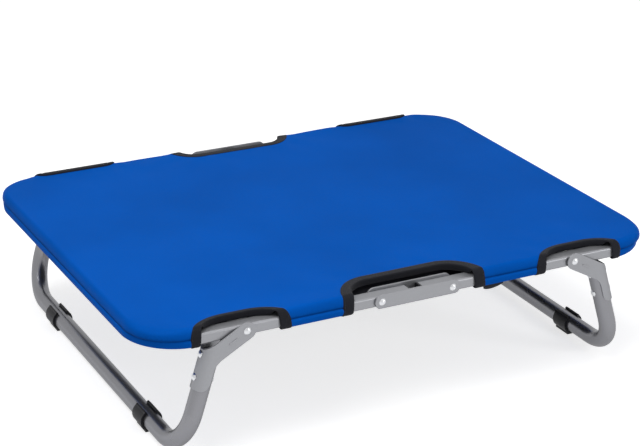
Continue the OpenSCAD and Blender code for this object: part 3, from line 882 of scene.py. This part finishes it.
class TapeRun:
    """Folded tape round an opening, or round its right half, on one side of the bed."""

    def __init__(self, opening, side, way, tape, surface, edge, top_width, rise=0.0):
        self.tape, self.surface, self.edge, self.rise = tape, surface, edge, rise
        self.closed = opening.x > 0
        opening = opening.on(side)
        inner = opening.narrowed(tape.side_width, top_width, tape.under_width)
        self.flip = side * way < 0
        mirror = np.array([side, way])
        path = Opening.ring if self.closed else Opening.half_path
        self.outer, self.inner = (path(o) * mirror for o in (opening, inner))

    def face(self, past):
        """Height of the tape's face over the cover: it stands up more on the flat top."""
        return self.tape.lift + self.rise * ease(1 - past / 0.012)

    def row(self, across, level):
        """Line along the tape; under the flat top the fold's inner edge hangs to its full depth."""
        plan = self.outer + (self.inner - self.outer) * across
        past = self.surface.past_flat(plan)[0]
        if level > 0:
            return self.surface.lay(plan, level * self.face(past))
        flat = ease(-past / 0.006)
        hang = self.tape.under + (self.edge - self.tape.under) * ease((across - 0.62) / 0.2)
        return self.surface.lay(plan, level * (self.tape.fold + flat * (hang - self.tape.fold)))

    def mesh(self):
        """Points, faces, and a length and width for each point."""
        rows = np.array([self.row(across, level) for across, level in TAPE_SECTION])
        ring, length = rows.shape[:2]
        run = run_along(rows[FACE_ROW])
        points = rows.transpose(1, 0, 2).reshape(-1, 3)
        marks = np.array([(r - run[-1], across * self.tape.side_width)
                          for r in run for across, _ in TAPE_SECTION])
        faces = tube_faces(length, ring, closed=self.closed)
        if self.flip:
            faces = [f[::-1] for f in faces]
        return points, faces, marks

    def stitch_lines(self):
        """Line of the stitches on the tape, and the same line raised."""
        across = self.tape.stitch_inset / self.tape.side_width
        plan = self.outer + (self.inner - self.outer) * across
        if self.closed:
            plan = np.vstack([plan, plan[:1]])
        lift = self.face(self.surface.past_flat(plan)[0])
        return [self.surface.lay(plan, lift + up) for up in (0.0, MM)]


class HemRun:
    """Sewn line along the inner edge of the sleeve, under one half of the bed."""

    def __init__(self, side, surface):
        columns = outer_columns(surface, OUTLINE_SPACING)
        inner = columns[:, :2] + columns[:, 2:] * (surface.rim.length - 3.5 * MM)
        self.plan, self.surface = inner * np.array([side, 1.0]), surface

    def stitch_lines(self):
        """Line of the stitches on the sleeve, and the same line raised."""
        return [self.surface.lay(self.plan, up) for up in (0.0, MM)]


def join_parts(parts):
    """Several sets of points and faces as one."""
    points, faces, marks, start = [], [], [], 0
    for p, f, m in parts:
        points.append(p)
        marks.append(m)
        faces += [tuple(i + start for i in face) for face in f]
        start += len(p)
    return np.vstack(points), faces, np.vstack(marks)


@dataclass
class TapeTail:
    """Loose end of the tape, tucked under the sleeve beside the centre opening."""

    start: float   # its left end
    length: float
    y: float       # middle of its thickness
    top: float     # height of its upper edge
    drop: float    # how far it hangs down
    half: float    # half its thickness

    def mesh(self):
        """Points, faces, and a length and width for each point."""
        turn = np.radians(np.arange(0.0, 360.0, 30.0))
        points, marks, steps = [], [], 16
        for u in np.linspace(0.0, 1.0, steps):
            low = self.top - self.drop * math.sin(math.pi * (0.16 + 0.8 * u)) ** 0.7
            for a in turn:
                rise = math.copysign(abs(math.sin(a)) ** 0.45, math.sin(a))
                curl = 1.3 * MM * math.sin(3.2 * u) * (1 - rise)
                points.append((self.start + self.length * u,
                               self.y + self.half * math.cos(a) + curl,
                               0.5 * (self.top + low) + 0.5 * (self.top - low) * rise))
                marks.append((self.length * u, 0.5 * self.drop * rise))
        faces = [f[::-1] for f in tube_faces(steps, len(turn))]
        return np.array(points), faces, np.array(marks)


def tape_piece(name, runs, material):
    """New object from lengths of tape, with their lengths and widths as its UV map."""
    points, faces, marks = join_parts([run.mesh() for run in runs])
    piece = mesh_piece(name, points, faces, material)
    caps = [face for face in piece.data.polygons if len(face.vertices) > 4]
    ends = {key for face in caps for key in face.edge_keys}
    for edge in piece.data.edges:
        edge.use_edge_sharp = edge.key in ends
    layer = piece.data.uv_layers.new(name="tape")
    corners = np.zeros(len(piece.data.loops), dtype=int)
    piece.data.loops.foreach_get("vertex_index", corners)
    layer.data.foreach_set("uv", marks[corners].astype(np.float32).ravel())
    return piece


def along(line, pitch):
    """Starts, middles and ends of the stitches along a line of points."""
    run = run_along(line)

    def at(distance):
        return np.column_stack([np.interp(distance, run, line[:, k]) for k in range(3)])

    starts = np.arange(0.4 * pitch, run[-1] - pitch, pitch)
    return at(starts), at(starts + 0.36 * pitch), at(starts + 0.72 * pitch)


def unit(vector):
    """The vector made 1 long."""
    return vector / max(np.linalg.norm(vector), 1e-9)


def build_stitches(runs, tape):
    """Short rounded threads along the tape that dip into it at both ends."""
    points, faces = [], []
    sides, thread = 6, tape.thread
    for low, high in (run.stitch_lines() for run in runs):
        first, mid, last = along(low, tape.stitch_pitch)
        _, crest, _ = along(high, tape.stitch_pitch)
        for a, b, c, top in zip(first, mid, last, crest):
            up = unit(top - b)
            across = np.cross(unit(c - a), up)
            faces += tube_faces(len(STITCH), sides, start=len(points))
            places = (a, a + 0.18 * (c - a), b, a + 0.82 * (c - a), c)
            for place, (rise, size) in zip(places, STITCH):
                for k in range(sides):
                    angle = 2 * math.pi * k / sides
                    spoke = across * math.cos(angle) + up * math.sin(angle)
                    points.append(place + up * rise * thread + 0.5 * thread * size * spoke)
    return points, faces


def side_name(side):
    return "right" if side > 0 else "left"


def half_name(side):
    return "half_" + side_name(side)


class COT_OT_leg_tape(bpy.types.Operator):
    """Bind the openings that the leg brackets pass through"""

    bl_idname = "cot.leg_tape"
    bl_label = "Leg Opening Tape"

    def execute(self, context):
        tape = context.scene.cot_tape
        surface = CoverSurface(context.scene.cot_cover, seamed=False)
        colour = context.scene.cot_finish.tape
        cloth = binding_tape(colour)
        thread = sewing_thread("black_thread", [1.5 * c for c in colour])
        # Width on the top and extra height, at the front and at the back
        edges = ((-1, tape.leg_width, 0.0), (1, tape.top_width, tape.back_rise))
        for side in SIDES:
            runs = [TapeRun(surface.openings[way][0], side, way, tape, surface,
                            edge=tape.leg_edge, top_width=width, rise=rise)
                    for way, width, rise in edges]
            piece = tape_piece("leg_tape_" + side_name(side), runs, cloth)
            stitches = build_stitches(runs, tape)
            sewn = mesh_piece("leg_stitches_" + side_name(side), *stitches, thread)
            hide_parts("leg_binding_" + side_name(side))
            for made in (piece, sewn):
                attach(made, half_name(side))
        return {"FINISHED"}


class COT_OT_centre_tape(bpy.types.Operator):
    """Bind the openings over the centre hinges"""

    bl_idname = "cot.centre_tape"
    bl_label = "Centre Opening Tape"

    def execute(self, context):
        tape = context.scene.cot_tape
        surface = CoverSurface(context.scene.cot_cover, seamed=False)
        cloth = bpy.data.materials["black_binding_tape"]
        thread = bpy.data.materials["black_thread"]
        for side in SIDES:
            runs = [TapeRun(surface.openings[way][1], side, way, tape, surface,
                            edge=tape.centre_edge, top_width=tape.top_width)
                    for way in SIDES]
            piece = tape_piece("centre_tape_" + side_name(side), runs, cloth)
            stitches = build_stitches(runs, tape)
            sewn = mesh_piece("centre_stitches_" + side_name(side), *stitches, thread)
            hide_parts("centre_binding_" + side_name(side), "centre_binding_middle")
            for made in (piece, sewn):
                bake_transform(made)
        loose = TapeTail(start=0.0815, length=0.0235, y=-0.2338, top=COVER_LOW.z + 0.6 * MM,
                         drop=tape.tail, half=0.8 * MM)
        tail = tape_piece("tape_tail", [loose], cloth)
        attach(tail, "half_right")
        return {"FINISHED"}


class COT_OT_cover(bpy.types.Operator):
    """Fit the padded cover over both halves of the frame"""

    bl_idname = "cot.cover"
    bl_label = "Padded Cover"

    def execute(self, context):
        surface = CoverSurface(context.scene.cot_cover)
        colours = context.scene.cot_finish
        cloth = cover_cloth(colours.cover, colours.lining)
        thread = sewing_thread("blue_thread", [min(1.0, 1.6 * c) for c in colours.cover])
        # How far the cloth runs in under the tape
        tuck = 4 * MM
        for side in SIDES:
            cuts = {way: [o.on(side).narrowed(tuck, tuck, tuck) for o in pair]
                    for way, pair in surface.openings.items()}
            net = cover_net(surface, cuts)
            piece = build_cover_half("cover_cloth_" + side_name(side), side,
                                     surface, net, cuts, cloth)
            stitches = build_stitches([HemRun(side, surface)], context.scene.cot_tape)
            hem = mesh_piece("hem_stitches_" + side_name(side), *stitches, thread)
            for made in (piece, hem):
                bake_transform(made)
            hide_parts("cover_" + side_name(side), "cover_middle")
            sewn_on = [hem] + [bpy.data.objects[kind + side_name(side)] for kind in (
                "leg_tape_", "leg_stitches_", "centre_tape_", "centre_stitches_")]
            if side > 0:
                sewn_on.append(bpy.data.objects["tape_tail"])
        return {"FINISHED"}


class COT_OT_steel(bpy.types.Operator):
    """Paint the frame, hinge links, legs and brackets"""

    bl_idname = "cot.steel"
    bl_label = "Painted Steel"

    def execute(self, context):
        colours = context.scene.cot_finish
        pressed = silver_paint("silver_grey_paint", colours.paint,
                               roughness=0.4, metallic=0.6, edge=0.35)
        # Leg tubes get a darker copy of the silver paint: painted shade for where they stand under
        # the bed
        tube = silver_paint("shaded_silver_grey_leg_paint", colours.shaded_leg_paint,
                            roughness=0.29, metallic=0.88, edge=0.7)
        paint_nodes(pressed, "frame_", "hinge_link_", "leg_bracket_")
        paint_nodes(tube, "leg_tube_")
        return {"FINISHED"}


class COT_OT_rivets(bpy.types.Operator):
    """Plate the hinge, pivot and bracket rivets"""

    bl_idname = "cot.rivets"
    bl_label = "Rivets"

    def execute(self, context):
        plate = zinc_plate(context.scene.cot_finish.rivet)
        paint_nodes(plate, "hinge_rivets", "pivot_rivets_", "bracket_rivets_")
        return {"FINISHED"}


class COT_OT_plastics(bpy.types.Operator):
    """Mould the feet, rail plugs and pivot washers"""

    bl_idname = "cot.plastics"
    bl_label = "Feet, Plugs and Washers"

    def execute(self, context):
        colours = context.scene.cot_finish
        black = moulded_plastic("black_plastic", colours.plastic, roughness=0.46)
        nylon = moulded_plastic("natural_nylon", colours.washer, roughness=0.4)
        paint_nodes(black, "foot_", "rail_plugs_")
        paint_nodes(nylon, "pivot_washers_")
        return {"FINISHED"}


def soft_lamp(name, place, size, power):
    """Square lamp that shines on the middle of the cot."""
    data = bpy.data.lights.new(name, "AREA")
    data.shape = "RECTANGLE"
    data.size = data.size_y = size
    data.energy = power
    lamp = bpy.data.objects.new(name, data)
    lamp.location = place
    aim = Vector((0.0, 0.0, 0.1)) - Vector(place)
    lamp.rotation_euler = aim.to_track_quat("-Z", "Y").to_euler()
    bpy.context.scene.collection.objects.link(lamp)


def seen_share(tree, other, seen):
    """One value for what is seen, straight, mirrored or through a surface, one for the rest."""
    path = tree.nodes.new("ShaderNodeLightPath")
    share = path.outputs["Is Camera Ray"]
    for name in ("Is Glossy Ray", "Is Transmission Ray"):
        either = tree.nodes.new("ShaderNodeMath")
        either.operation = "MAXIMUM"
        tree.links.new(share, either.inputs[0])
        tree.links.new(path.outputs[name], either.inputs[1])
        share = either.outputs[0]
    value = tree.nodes.new("ShaderNodeMapRange")
    value.inputs["To Min"].default_value = other
    value.inputs["To Max"].default_value = seen
    tree.links.new(share, value.inputs["Value"])
    return value.outputs[0]


class COT_OT_stage(bpy.types.Operator):
    """Lay the floor, set the lamps and stand the camera"""

    bl_idname = "cot.stage"
    bl_label = "Stage"

    def execute(self, context):
        scene, stage = context.scene, context.scene.cot_stage
        scene.view_settings.view_transform = "Standard"
        self.floor(stage)
        self.sky(scene, stage)
        soft_lamp("key_lamp", (-0.45, -0.25, 1.5), size=1.0, power=stage.key_power)
        soft_lamp("fill_lamp", (1.2, -1.9, 0.9), size=0.6, power=stage.fill_power)
        self.camera(scene, stage)
        return {"FINISHED"}

    def floor(self, stage):
        f = Finish("pale_floor", 0.9)
        f.tint(stage.floor, f.noise(f.place(), scale=3.0), low=0.99, high=1.0)
        f.set(f.shader, Specular_IOR_Level=0.1, Emission_Color=(1.0, 1.0, 1.0, 1.0))
        glow = seen_share(f.tree, other=0.0, seen=stage.glow)
        f.join(glow, f.shader, "Emission Strength")
        half = 6.0
        points = [(-half, -half, 0), (half, -half, 0), (half, half, 0), (-half, half, 0)]
        mesh_piece("floor", points, [(0, 1, 2, 3)], f.material)

    def sky(self, scene, stage):
        world = bpy.data.worlds.new("studio")
        world.use_nodes = True
        tree = world.node_tree
        tree.nodes.clear()
        light = tree.nodes.new("ShaderNodeBackground")
        light.inputs["Color"].default_value = (1.0, 1.0, 1.0, 1.0)
        strength = seen_share(tree, other=stage.sky, seen=1.0)
        tree.links.new(strength, light.inputs["Strength"])
        out = tree.nodes.new("ShaderNodeOutputWorld")
        tree.links.new(light.outputs[0], out.inputs[0])
        scene.world = world

    def camera(self, scene, stage):
        data = bpy.data.cameras.new("camera")
        data.sensor_width = 36.0
        data.lens = stage.lens
        data.clip_end = 50.0
        camera = bpy.data.objects.new("camera", data)
        turn = (Matrix.Rotation(-stage.yaw, 4, "Z")
                @ Matrix.Rotation(math.pi / 2 - stage.pitch, 4, "X")
                @ Matrix.Rotation(stage.roll, 4, "Z"))
        camera.matrix_world = Matrix.Translation(stage.camera_place) @ turn
        scene.collection.objects.link(camera)
        scene.camera = camera


OPERATORS = (COT_OT_leg_tape, COT_OT_centre_tape, COT_OT_cover,
             COT_OT_steel, COT_OT_rivets, COT_OT_plastics, COT_OT_stage)


class COT_PT_panel(bpy.types.Panel):
    """Steps of the cot, in order"""

    bl_idname = "COT_PT_panel"
    bl_label = "Pet Cot"
    bl_space_type = "VIEW_3D"
    bl_region_type = "UI"
    bl_category = "Pet Cot"

    def draw(self, context):
        for step in OPERATORS:
            self.layout.operator(step.bl_idname)
        for group in SETTINGS:
            box = self.layout.box()
            values = getattr(context.scene, group)
            for name in values.bl_rna.properties.keys():
                if name not in ("rna_type", "name"):
                    box.prop(values, name)


SETTINGS = {
    "cot_cover": CotCoverSettings,
    "cot_tape": CotTapeSettings,
    "cot_finish": CotFinishSettings,
    "cot_stage": CotStageSettings,
}


def register():
    for group in SETTINGS.values():
        bpy.utils.register_class(group)
    for step in OPERATORS + (COT_PT_panel,):
        bpy.utils.register_class(step)
    for name, group in SETTINGS.items():
        setattr(bpy.types.Scene, name, bpy.props.PointerProperty(type=group))


def unregister():
    for name in SETTINGS:
        delattr(bpy.types.Scene, name)
    for step in reversed(OPERATORS + (COT_PT_panel,)):
        bpy.utils.unregister_class(step)
    for group in reversed(list(SETTINGS.values())):
        bpy.utils.unregister_class(group)


def main():
    register()
    for step in (bpy.ops.cot.leg_tape, bpy.ops.cot.centre_tape, bpy.ops.cot.cover,
                 bpy.ops.cot.steel, bpy.ops.cot.rivets, bpy.ops.cot.plastics, bpy.ops.cot.stage):
        step()


if __name__ == "__main__":
    main()
